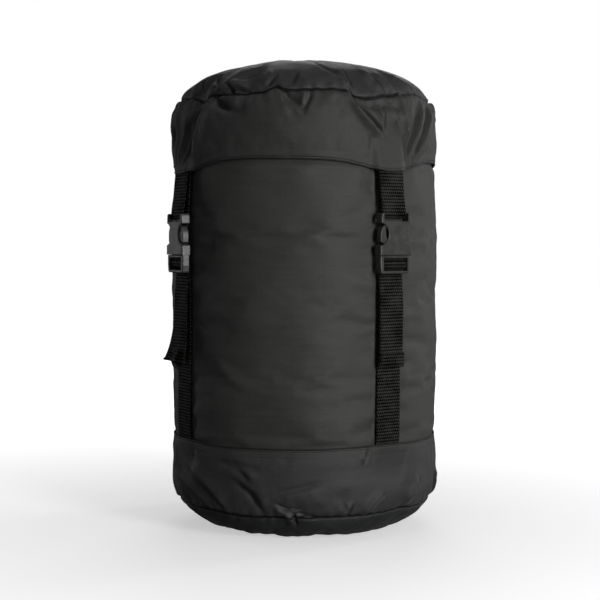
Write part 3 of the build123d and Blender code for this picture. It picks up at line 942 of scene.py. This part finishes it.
BASE_CREASES = [
    # two long folds on the left that sweep down to the seam
    Crease((-9, 49), (-25, 65), 0.9, 3.0, ridge=0.9, bow=0.1),
    Crease((-5, 24), (-17, 49), 1.1, 2.8, ridge=0.9, bow=0.12),
    Crease((-20, 67), (-6, 61), 0.9, 2.6, ridge=0.9),
    Crease((-32, 22), (-57, 44), 1.6, 1.6, ridge=1.0, bow=0.08),
    Crease((-23, 23), (-47, 54), 1.3, 1.8, ridge=1.0, bow=0.08),
    Crease((-50, 26), (-66, 58), 1.5, 1.7, ridge=1.0, bow=0.05),
    # the forked pucker at the seam, near the middle
    Crease((1, 34), (8, 26), 1.3, 1.3, ridge=1.0),
    Crease((8, 27), (18, 22), 1.1, 1.3, ridge=0.9),
    Crease((8, 27), (9, 15), 1.5, 1.2, ridge=0.8),
    Crease((4, 30), (10, 30), 1.2, 1.1, ridge=0.8),
    # to the right
    Crease((33, 32), (30, 22), 1.5, 1.1, ridge=1.0),
    Crease((47, 38), (39, 21), 2.0, 1.2, ridge=1.1, bow=0.05),
    Crease((2, 43), (18, 51), 0.8, 2.6, ridge=0.9),
    Crease((70, 46), (62, 24), 1.6, 1.5, ridge=1.0),
    Crease((40, 78), (38, 66), 1.1, 1.4, ridge=0.9),
    # behind
    Crease((98, 23), (90, 46), 1.6, 1.6, ridge=1.0),
    Crease((140, 22), (150, 48), 1.6, 1.6, ridge=1.0, bow=0.05),
    Crease((178, 24), (168, 40), 1.8, 1.5, ridge=1.0),
    Crease((200, 22), (204, 32), 1.6, 1.3, ridge=1.0),
    Crease((215, 22), (226, 50), 1.6, 1.6, ridge=1.0, bow=-0.05),
    Crease((255, 24), (244, 44), 1.6, 1.5, ridge=1.0),
]


def make_base():
    base, down_band = sewn_end("base_cloth", base_panel, base_band, rows=14, up=-1)
    let_fill(base, down_band, growth=0.02, reach=4 * MM, flat_r=BASE_FLAT_R)
    dress_seam(base, base_seam_rise, BASE_CREASES, seed=51, gather=0.7 * MM)
    points = points_of(base.data)
    points[:, 2] = np.maximum(points[:, 2], 0.15 * MM)
    set_points(base.data, points)
    panel = take_part(base, "base_disc_cloth", 0, NYLON_DISC)
    band = take_part(base, "base_band_cloth", 1, NYLON_BASE)
    bpy.data.objects.remove(base)
    return panel, band


# ---- body --------------------------------------------------------------------------------------
def body_radius(angle, height):
    top = np.clip((height - 255 * MM) / (60 * MM), 0, 1)
    bottom = np.clip((BASE_HEM_Z + 55 * MM - height) / (55 * MM), 0, 1)
    radius = BODY_R - (BODY_R - BODY_TOP_R) * top**1.5 - 1.4 * MM * bottom**2
    return radius - PINCH * near_straps(angle, 17 * MM)


def make_body():
    """The stuffed tube between the bands, open at both ends under their hems."""
    low, high = BASE_HEM_Z - 9 * MM, CAP_HEM_Z + 7 * MM
    columns, rows = 216, 70
    held_ends = 10 * MM
    angle = all_round(columns)[None, :]
    height = np.linspace(low, high, rows)[:, None]
    radius = body_radius(angle, height)
    points = polar(angle, radius, height)
    faces = grid_faces(rows, columns)
    all_angle = np.broadcast_to(angle, (rows, columns)).ravel()
    uv = wrapped_uv(all_angle, points[:, 2])
    body = make_piece("body_cloth", points, faces, NYLON_BODY, uv)
    level = points[:, 2]
    hold = np.where((level < low + held_ends) | (level > high - held_ends), 1.0, 0.0)
    hold = np.maximum(hold, 0.85 * near_straps(all_angle, 14 * MM))
    settle(body, np.clip(hold, 0, 1), pressure=2.2, growth=0.012, reach=2.2 * MM, along=points[:, 2])
    subdivide(body)
    mesh = body.data
    points, normals = points_of(mesh), normals_of(mesh)
    angle, height = angles_of(points), points[:, 2]
    strap_free = 1 - np.clip(near_straps(angle, 14 * MM), 0, 1)
    push = 0.20 * MM * relief_noise(angle, height, 61, 60 * MM, 16 * MM) * strap_free
    push += 0.10 * MM * relief_noise(angle, height, 62, 26 * MM, 6 * MM) * strap_free
    push += beside_straps(angle, height)
    push -= 1.3 * MM * bump(height - cap_hem(angle), 2.6 * MM)
    points += normals * push[:, None]
    set_points(mesh, points)
    return body


def beside_straps(angle, height):
    """Short level wrinkles that start at each strap's edge and fade over a few centimetres."""
    total = np.zeros(len(angle))
    for number, centre in STRAPS.items():
        away = angle_from(angle, centre) * SACK_R
        for side in (-1, 1):
            out = side * away - WEB_W / 2
            fade = np.exp(-((np.clip(out, 0, None) / (16 * MM)) ** 1.5)) * (out > -6 * MM)
            wrinkle = relief_noise(0 * angle, height, 70 + 2 * number + side, 1.0, 11 * MM)
            total += 1.0 * MM * wrinkle * fade * np.clip(out / (3 * MM), 0, 1)
    return total


def surface_of(piece):
    """Finds the outer cloth at (angle, height): returns its distance from the axis."""
    mesh = piece.data
    polygons = [tuple(p.vertices) for p in mesh.polygons]
    tree = BVHTree.FromPolygons([v.co.copy() for v in mesh.vertices], polygons)

    def radius_at(angle, height):
        start = on_sack(angle, 2 * SACK_R, height)
        inwards = on_sack(angle, -1.0, 0)
        hit = tree.ray_cast(start, inwards, 2 * SACK_R)[0]
        return SACK_R if hit is None else math.hypot(hit.x, hit.y)

    return radius_at


# ---- hems and stitches -------------------------------------------------------------------------

def make_hem(name, edge, into, surface):
    """The folded and stitched edge of a band. into is 1 if the band goes up from the edge."""
    columns = 960
    # (distance from the folded edge along the band, distance out from the band), in mm
    section = [
        (9.0, -0.40),
        (7.8, 0.05),
        (6.2, 0.18),
        (3.4, 0.36),
        (2.3, 0.34),
        (1.6, -0.55),
        (0.95, 0.38),
        (0.45, 0.44),
        (0.1, 0.32),
        (-0.08, 0.0),
        (0.0, -0.40),
        (0.5, -0.66),
        (2.0, -0.72),
    ]
    section = [(along * MM, out * MM) for along, out in section]
    angles = all_round(columns)
    edges = edge(angles)
    pucker = relief_noise(angles, 0 * angles, 90, 7 * MM, 1.0, waves=50)
    rows = []
    for along, out in section:
        heights = edges + into * along
        looked = edges + into * max(along, 1.2 * MM)
        radii = np.array([surface(a, h) for a, h in zip(angles, looked)])
        radii = smooth_ring(radii, 3)
        flutter = 0.10 * MM * pucker if 0 <= along < 6 * MM and out > 0 else 0
        rows.append(polar(angles, radii + out + flutter, heights))
    points = np.vstack(rows)
    faces = grid_faces(len(section), columns)
    if into > 0:
        faces = [tuple(reversed(f)) for f in faces]
    along = np.repeat([s[0] for s in section], columns)
    uv = wrapped_uv(np.tile(angles, len(section)), along)
    return make_piece(name, points, faces, NYLON_HEM, uv)


def smooth_ring(values, times):
    for _ in range(times):
        values = (np.roll(values, 1) + 2 * values + np.roll(values, -1)) / 4
    return values


def thread_line(name, places):
    """Lockstitches as one mesh. places holds (middle, direction, outwards) for each stitch."""
    sides = 6
    # (position along the stitch, thickness) as shares
    section = [(-0.5, 0.15), (-0.42, 0.75), (-0.2, 1.0), (0.2, 1.0), (0.42, 0.75), (0.5, 0.15)]
    points, faces = [], []
    for middle, direction, outwards in places:
        side = direction.cross(outwards).normalized()
        first = len(points)
        for along, fat in section:
            sink = 0.45 * THREAD * (2 * abs(along)) ** 3
            centre = middle + direction * (along * STITCH) - outwards * sink
            for k in range(sides):
                turn = 2 * math.pi * k / sides
                spoke = side * math.cos(turn) + outwards * math.sin(turn)
                points.append(centre + spoke * (THREAD / 2 * fat))
        faces += grid_faces(len(section), sides, first=first)
        last = first + (len(section) - 1) * sides
        faces.append(tuple(range(first, first + sides)))
        faces.append(tuple(range(last + sides - 1, last - 1, -1)))
    return make_piece(name, points, faces, THREAD_BLACK)


def stitches_round(edge, along, surface, proud=0.12 * MM):
    """Stitch places all the way round a hem."""
    count = int(GIRTH / (STITCH + STITCH_GAP))
    places = []
    for k in range(count):
        angle = 2 * math.pi * k / count - math.pi
        height = float(edge(np.array([angle]))[0]) + along
        middle = on_sack(angle, surface(angle, height) + proud, height)
        ahead = angle + 0.01
        height_ahead = float(edge(np.array([ahead]))[0]) + along
        direction = on_sack(ahead, surface(ahead, height_ahead) + proud, height_ahead) - middle
        places.append((middle, direction.normalized(), on_sack(angle, 1, 0)))
    return places


def make_tape(name, radius, height, up):
    """The folded tape that binds the seam's raw edges, inside the cloth."""
    columns = 480
    # (inwards, towards the seam) from the tape's middle, in mm
    section = [(-0.9, -1.5), (0.0, -1.7), (0.9, -1.4), (1.1, 0.0), (0.8, 1.5), (-0.6, 1.6), (-0.9, 0.2)]
    angles = all_round(columns)
    wave = 0.35 * MM * relief_noise(angles, 0 * angles, 95, 12 * MM, 1.0)
    rows = [polar(angles, radius - i * MM + wave, height + up * t * MM) for i, t in section]
    points = np.vstack(rows + rows[:1])
    faces = grid_faces(len(section) + 1, columns)
    faces = [tuple(reversed(f)) for f in faces] if up < 0 else faces
    along = np.repeat(range(len(section) + 1), columns) * MM
    uv = wrapped_uv(np.tile(angles, len(section) + 1), along)
    return make_piece(name, points, faces, BINDING, uv)


# ---- webbing -----------------------------------------------------------------------------------
def smooth_route(route, rounds=4):
    """Cuts the corners of a route again and again, keeping its ends."""
    points = [np.array(p, float) for p in route]
    for _ in range(rounds):
        cut = [points[0]]
        for a, b in zip(points, points[1:]):
            cut += [a * 0.75 + b * 0.25, a * 0.25 + b * 0.75]
        points = cut + [points[-1]]
    return np.array(points)


def even_steps(points, step):
    """Points the same distance apart along a line, and that distance along it for each."""
    lengths = np.linalg.norm(np.diff(points, axis=0), axis=1)
    travelled = np.concatenate([[0], np.cumsum(lengths)])
    count = max(4, int(travelled[-1] / step))
    wanted = np.linspace(0, travelled[-1], count + 1)
    even = np.stack([np.interp(wanted, travelled, points[:, k]) for k in range(2)], axis=1)
    return even, wanted


def webbing_section():
    """The outline across the webbing, (across, out) as shares of half its width and thickness."""
    across = [-0.985, -0.94, -0.8, -0.5, 0, 0.5, 0.8, 0.94, 0.985]
    front = [(a, 0.78 if abs(a) > 0.97 else 1.0) for a in across]
    back = [(a, -o) for a, o in reversed(front)]
    return front + [(1.0, 0.0)] + back + [(-1.0, 0.0)]


def make_webbing(name, angle, route, sway=None):
    """Ribbed webbing along a route of (out from the axis, height) points at a strap's angle.

    sway(height) gives (sideways shift, twist, outward shift) at a height.
    """
    steps, travelled = even_steps(smooth_route(route), RIB / 5)
    heading = np.gradient(steps, axis=0)
    heading /= np.linalg.norm(heading, axis=1, keepdims=True)
    out, side = on_sack(angle, 1, 0), Vector((math.cos(angle), math.sin(angle), 0))
    up = Vector((0, 0, 1))
    section = webbing_section()
    points, uv = [], []
    for (o, z), (ho, hz), s in zip(steps, heading, travelled):
        shift, twist, lean = sway(z) if sway else (0, 0, 0)
        normal = out * hz - up * ho
        across = side * math.cos(twist) + normal * math.sin(twist)
        normal = normal * math.cos(twist) - side * math.sin(twist)
        middle = out * (o + lean) + side * shift + up * z
        rib = 0.5 + 0.5 * math.cos(2 * math.pi * s / RIB)
        for a, t in section:
            relief = 0.32 * MM * (rib - 0.6) * math.copysign(1, t) * (1 - a**6) if t else 0
            width = WEB_W / 2 - 0.2 * MM * (1 - rib) * abs(a) ** 8
            points.append(middle + across * (a * width) + normal * (t * WEB_T / 2 + relief))
            uv.append((a * width + (WEB_W if t < 0 else 0), s))
    columns = len(section)
    faces = grid_faces(len(steps), columns)
    faces.append(tuple(range(columns)))
    last = (len(steps) - 1) * columns
    faces.append(tuple(range(last + columns - 1, last - 1, -1)))
    return make_piece(name, points, faces, WEBBING, uv)


def make_cap_loop(number, angle):
    """Two layers of webbing from under the cap's hem, round the female half's bar."""
    low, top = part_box(f"cap_loop_{number}")[0].z + WEB_T / 2, CAP_HEM_Z + 8 * MM
    hem_back, hem_front = 114.9 * MM, 118.5 * MM
    bar_back, bar_front = LOOP_BAR_MID - 2.4 * MM, LOOP_BAR_MID + 2.4 * MM
    route = [
        (hem_front - 2.2 * MM, top),
        (hem_front - 1.6 * MM, top - 8 * MM),
        (hem_front, top - 17 * MM),
        (hem_front + 1.4 * MM, low + 20 * MM),
        (bar_front - 0.6 * MM, low + 10 * MM),
        (bar_front, low + 3.4 * MM),
        (bar_front, low),
        (bar_back, low),
        (bar_back, low + 3.4 * MM),
        (bar_back - 0.6 * MM, low + 12 * MM),
        (hem_back + 1.2 * MM, low + 24 * MM),
        (hem_back, top - 14 * MM),
        (hem_back, top),
    ]
    return make_webbing(f"cap_loop_webbing_{number}", angle, route)


# mm that each strap's foot is sewn off its middle line
FOOT_ASIDE = {1: -3.0, 2: 0.0, 3: 1.2, 4: -1.0}


def make_strap(number, angle):
    """The standing length from under the base hem, and its turn round the ladder lock."""
    wall, front = 115.4 * MM, 123.0 * MM  # against the body, and in front of the ladder lock's bar
    bar_top, bar_low = STRAP_TOP_Z + 1.2 * MM, STRAP_TOP_Z - 5.7 * MM
    route = [
        (wall - 1.8 * MM, BASE_HEM_Z - 9 * MM),
        (wall - 1.2 * MM, BASE_HEM_Z - 3 * MM),
        (wall - 0.4 * MM, BASE_HEM_Z + 8 * MM),
        (wall, BASE_HEM_Z + 30 * MM),
        (wall, BASE_HEM_Z + 70 * MM),
        (wall + 0.5 * MM, PIVOT_Z + 1 * MM),
        (wall + 1.0 * MM, bar_low),
        (TAIL_MID, bar_low + 3 * MM),
        (TAIL_MID + 0.3 * MM, bar_top),
        (front, bar_top),
        (front, bar_low),
        (TAIL_MID, bar_low - 1.2 * MM),
        (TAIL_MID, PIVOT_Z + 0.6 * MM),
    ]

    def sway(height):
        up = (height - BASE_HEM_Z) / (PIVOT_Z - BASE_HEM_Z)
        return FOOT_ASIDE[number] * MM * max(0.0, 1 - 1.3 * up) ** 1.5, 0, 0

    return make_webbing(f"strap_webbing_{number}", angle, route, sway)


# how each tail's end hangs: mm sideways, twist in radians, and mm out from the sack
TAIL_SWAY = {1: (-2.0, 0.40, 6.5), 2: (-1.4, 0.05, 0.8), 3: (1.0, -0.12, 1.6), 4: (-0.8, 0.2, 2.6)}


def make_tail(number, angle):
    """The free tail, with its end folded double and stitched."""
    fold, low = 12 * MM, TAIL_LOW_Z
    end_mid = TAIL_MID + 1.7 * MM  # far enough out to pass over the base band when the tail is long
    drift, turn, lean = TAIL_SWAY[number]

    def sway(height):
        down = (PIVOT_Z - height) / (PIVOT_Z - low)
        swing = max(0.0, down) ** 4
        return drift * MM * swing, turn * swing, lean * MM * swing

    route = [
        (TAIL_MID, PIVOT_Z + 0.4 * MM),
        (TAIL_MID + 0.4 * MM, PIVOT_Z - 6 * MM),
        (end_mid, PIVOT_Z - 20 * MM),
        (end_mid, low + 20 * MM),
        (end_mid, low + 1.4 * MM),
        (end_mid + 0.8 * MM, low + 0.5 * MM),
        (end_mid + 1.7 * MM, low + 1.4 * MM),
        (end_mid + 1.7 * MM, low + fold),
    ]
    return make_webbing(f"tail_webbing_{number}", angle, route, sway)


# ---- gathered mouth, channel and back seam -----------------------------------------------------
def make_mouth():
    """The top of the bag, gathered in pleats to its small neck."""
    columns, rows = 720, 90
    neck_r = CHANNEL_R - 3.8 * MM
    # (radius, height) down the middle of the shape, from the body's top edge to the neck
    shape = smooth_route(
        [
            (112.6 * MM, CAP_HEM_Z - 14 * MM),
            (112.6 * MM, CAP_HEM_Z + 16 * MM),
            (111.4 * MM, CAP_HEM_Z + 36 * MM),
            (100.0 * MM, CAP_HEM_Z + 56 * MM),
            (70.0 * MM, CAP_HEM_Z + 66 * MM),
            (34.0 * MM, CAP_HEM_Z + 69 * MM),
            (neck_r, CAP_HEM_Z + 71 * MM),
            (neck_r, NECK_Z),
        ]
    )
    even, travelled = even_steps(shape, shape_length(shape) / (rows - 1) * 1.0001)
    even, travelled = even[:rows], travelled[:rows]
    angle = all_round(columns)[None, :]
    share = (travelled / travelled[-1])[:, None]
    radius, height = even[:, 0][:, None], even[:, 1][:, None]
    gathered = np.clip((share - 0.3) / 0.7, 0, 1) ** 1.3
    jitter = 0.5 * relief_noise(angle, 0 * angle, 101, 80 * MM, 1.0)
    pleats = np.cos(30 * angle + 3 * jitter) + 0.45 * np.cos(61 * angle + 5 * jitter + 1)
    lift = 2.1 * MM * pleats * gathered * np.clip(radius / (40 * MM), 0.3, 1)
    crumple = 0.6 * MM * relief_noise(angle, height + radius, 102, 22 * MM, 24 * MM)
    points = polar(angle, radius + 0.4 * lift, height + lift + crumple * gathered)
    all_angle = np.broadcast_to(angle, (len(even), columns)).ravel()
    along = np.broadcast_to(travelled[:, None], (len(even), columns)).ravel()
    uv = wrapped_uv(all_angle, along)
    return make_piece("mouth_cloth", points, grid_faces(len(even), columns), NYLON_BODY, uv)


def shape_length(points):
    return float(np.linalg.norm(np.diff(points, axis=0), axis=1).sum())


def make_channel():
    """The cord channel: a rolled hem that bunches up round the neck."""
    columns, around = 480, 18
    angle = all_round(columns)[None, :]
    turn = (2 * math.pi * np.arange(around + 1) / around)[:, None]
    tube = 2.5 * MM
    middle = CHANNEL_R - tube
    jitter = 0.6 * relief_noise(angle, 0 * angle, 111, 40 * MM, 1.0)
    bunch = 0.30 * MM * np.cos(34 * angle + 4 * jitter) + 0.14 * MM * np.cos(77 * angle + jitter)
    reach = tube + bunch
    points = polar(angle, middle + reach * np.cos(turn), CHANNEL_Z + reach * np.sin(turn))
    faces = grid_faces(around + 1, columns)
    all_angle = np.broadcast_to(angle, (around + 1, columns)).ravel()
    all_turn = np.broadcast_to(turn, (around + 1, columns)).ravel()
    uv = wrapped_uv(all_angle, all_turn * tube, middle)
    return make_piece("channel_cloth", points, faces, NYLON_BODY, uv)


def make_back_seam(surface):
    """The felled seam that closes the body behind, proud of the cloth, with two stitch lines."""
    low, high = BASE_HEM_Z - 4 * MM, CAP_HEM_Z + 4 * MM
    # (half width share, distance out) across the seam
    section = [(-1.0, -0.2), (-0.92, 0.4), (-0.6, 0.55), (0.0, 0.62), (0.6, 0.55), (0.92, 0.4), (1.0, -0.2)]
    half = 4.4 * MM
    heights = np.linspace(low, high, 320)
    points, uv = [], []
    pucker = 0.12 * MM * relief_noise(0 * heights, heights, 120, 1.0, 7 * MM)
    for height, ripple in zip(heights, pucker):
        for across, out in section:
            angle = math.pi + across * half / SACK_R
            radius = surface(angle, height) + out * MM + ripple
            points.append(on_sack(angle, radius, height))
            uv.append((across * half, height))
    faces = grid_faces(len(heights), len(section), closed=False)
    seam = make_piece("body_seam_cloth", points, faces, NYLON_BODY, uv)
    places = []
    for offset in (-2.9 * MM, 2.9 * MM):
        angle = math.pi + offset / SACK_R
        for height in np.arange(low + 6 * MM, high - 4 * MM, STITCH + STITCH_GAP):
            radius = surface(angle, height) + 0.66 * MM
            places.append((on_sack(angle, radius, height), Vector((0, 0, 1)), on_sack(angle, 1, 0)))
    return seam, thread_line("body_seam_stitches", places)


def tail_stitch_places(tail, angle):
    """Two short rows across the folded end, on its outer face."""
    points = points_of(tail.data)
    out = np.array(on_sack(angle, 1, 0))
    side = np.array((math.cos(angle), math.sin(angle), 0))
    places = []
    for height in (TAIL_LOW_Z + 4.5 * MM, TAIL_LOW_Z + 9.5 * MM):
        level = points[np.abs(points[:, 2] - height) < 0.5 * MM]
        across = level @ side
        left, right = across.min() + 2.5 * MM, across.max() - 2.5 * MM
        for place in np.arange(left, right, STITCH + 0.5 * MM):
            close = level[np.abs(across - place) < 4 * MM]
            reach = (close @ out).max() + 0.05 * MM
            middle = Vector(out * reach + side * place) + Vector((0, 0, height))
            places.append((middle, Vector(side), Vector(out)))
    return places


def paint(node, material):
    """Gives a CAD object its material."""
    materials = frame["nodes"][node].data.materials
    materials.clear()
    materials.append(material)


# ---- build -------------------------------------------------------------------------------------
make_camera()
make_lights()
make_world()

cap_disc_cloth, cap_band_cloth = make_cap()
base_disc_cloth, base_band_cloth = make_base()
body_cloth = make_body()
mouth_cloth = make_mouth()
channel_cloth = make_channel()

cap_hem_cloth = make_hem("cap_hem_cloth", cap_hem, 1, surface_of(cap_band_cloth))
base_hem_cloth = make_hem("base_hem_cloth", base_hem, -1, surface_of(base_band_cloth))
back_seam, back_stitches = make_back_seam(surface_of(body_cloth))
cap_tape = make_tape("cap_seam_binding", CAP_SEAM_R - 4.6 * MM, CAP_SEAM_Z - 3.4 * MM, 1)
base_tape = make_tape("base_seam_binding", BASE_SEAM_R - 4.2 * MM, BASE_SEAM_Z + 3.0 * MM, -1)

cap_places = stitches_round(cap_hem, HEM_STITCH, surface_of(cap_hem_cloth))
cap_stitches = thread_line("cap_hem_stitches", cap_places)
base_places = stitches_round(base_hem, -HEM_STITCH, surface_of(base_hem_cloth))
base_stitches = thread_line("base_hem_stitches", base_places)

for cloth in (cap_disc_cloth, cap_band_cloth, base_disc_cloth, base_band_cloth, body_cloth, mouth_cloth):
    thicken(cloth)

# which body each piece moves with, and which CAD node it stands for
RIDES = [
    (cap_disc_cloth, "cap", "cap_disc", "cap_cloth"),
    (cap_band_cloth, "cap", "cap_band", "cap_cloth"),
    (cap_hem_cloth, "cap", "cap_hem", "binding"),
    (cap_tape, "cap", "cap_seam_tape", "binding"),
    (cap_stitches, "cap", None, "binding"),
    (base_disc_cloth, "sack_base", "base_disc", "base_cloth"),
    (base_band_cloth, "sack_base", "base_band", "base_cloth"),
    (base_hem_cloth, "sack_base", "base_hem", "binding"),
    (base_tape, "sack_base", "base_seam_tape", "binding"),
    (base_stitches, "sack_base", None, "binding"),
    (mouth_cloth, "sack_top", "mouth_collar", "body_cloth"),
    (channel_cloth, "sack_top", "cord_channel", "body_cloth"),
]
for piece, body, node, slot in RIDES:
    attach(piece, body)
    if node:
        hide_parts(node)

for piece, node in ((body_cloth, "body_panel"), (back_seam, "body_seam"), (back_stitches, None)):
    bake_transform(piece)
    if node:
        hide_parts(node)

for number, angle in STRAPS.items():
    loop = make_cap_loop(number, angle)
    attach(loop, "cap")
    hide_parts(f"cap_loop_{number}")
    strap = make_strap(number, angle)
    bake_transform(strap)
    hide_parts(f"standing_strap_{number}", f"ladder_turn_{number}")
    tail = make_tail(number, angle)
    stitches = thread_line(f"tail_stitches_{number}", tail_stitch_places(tail, angle))
    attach(stitches, f"tail_end_{number}")
    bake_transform(tail)
    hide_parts(f"strap_tail_{number}", f"tail_end_{number}")
    for kind in ("female_buckle_{}", "male_buckle_{}", "prong_{}_left", "prong_{}_right"):
        paint(kind.format(number), PLASTIC)
paint("cord_eyelets", METAL)

floor = make_piece(
    "floor",
    [(-6, -6, 0), (6, -6, 0), (6, 6, 0), (-6, 6, 0)],
    [(0, 1, 2, 3)],
    studio_floor(),
)
floor.visible_diffuse = False
floor.visible_glossy = False
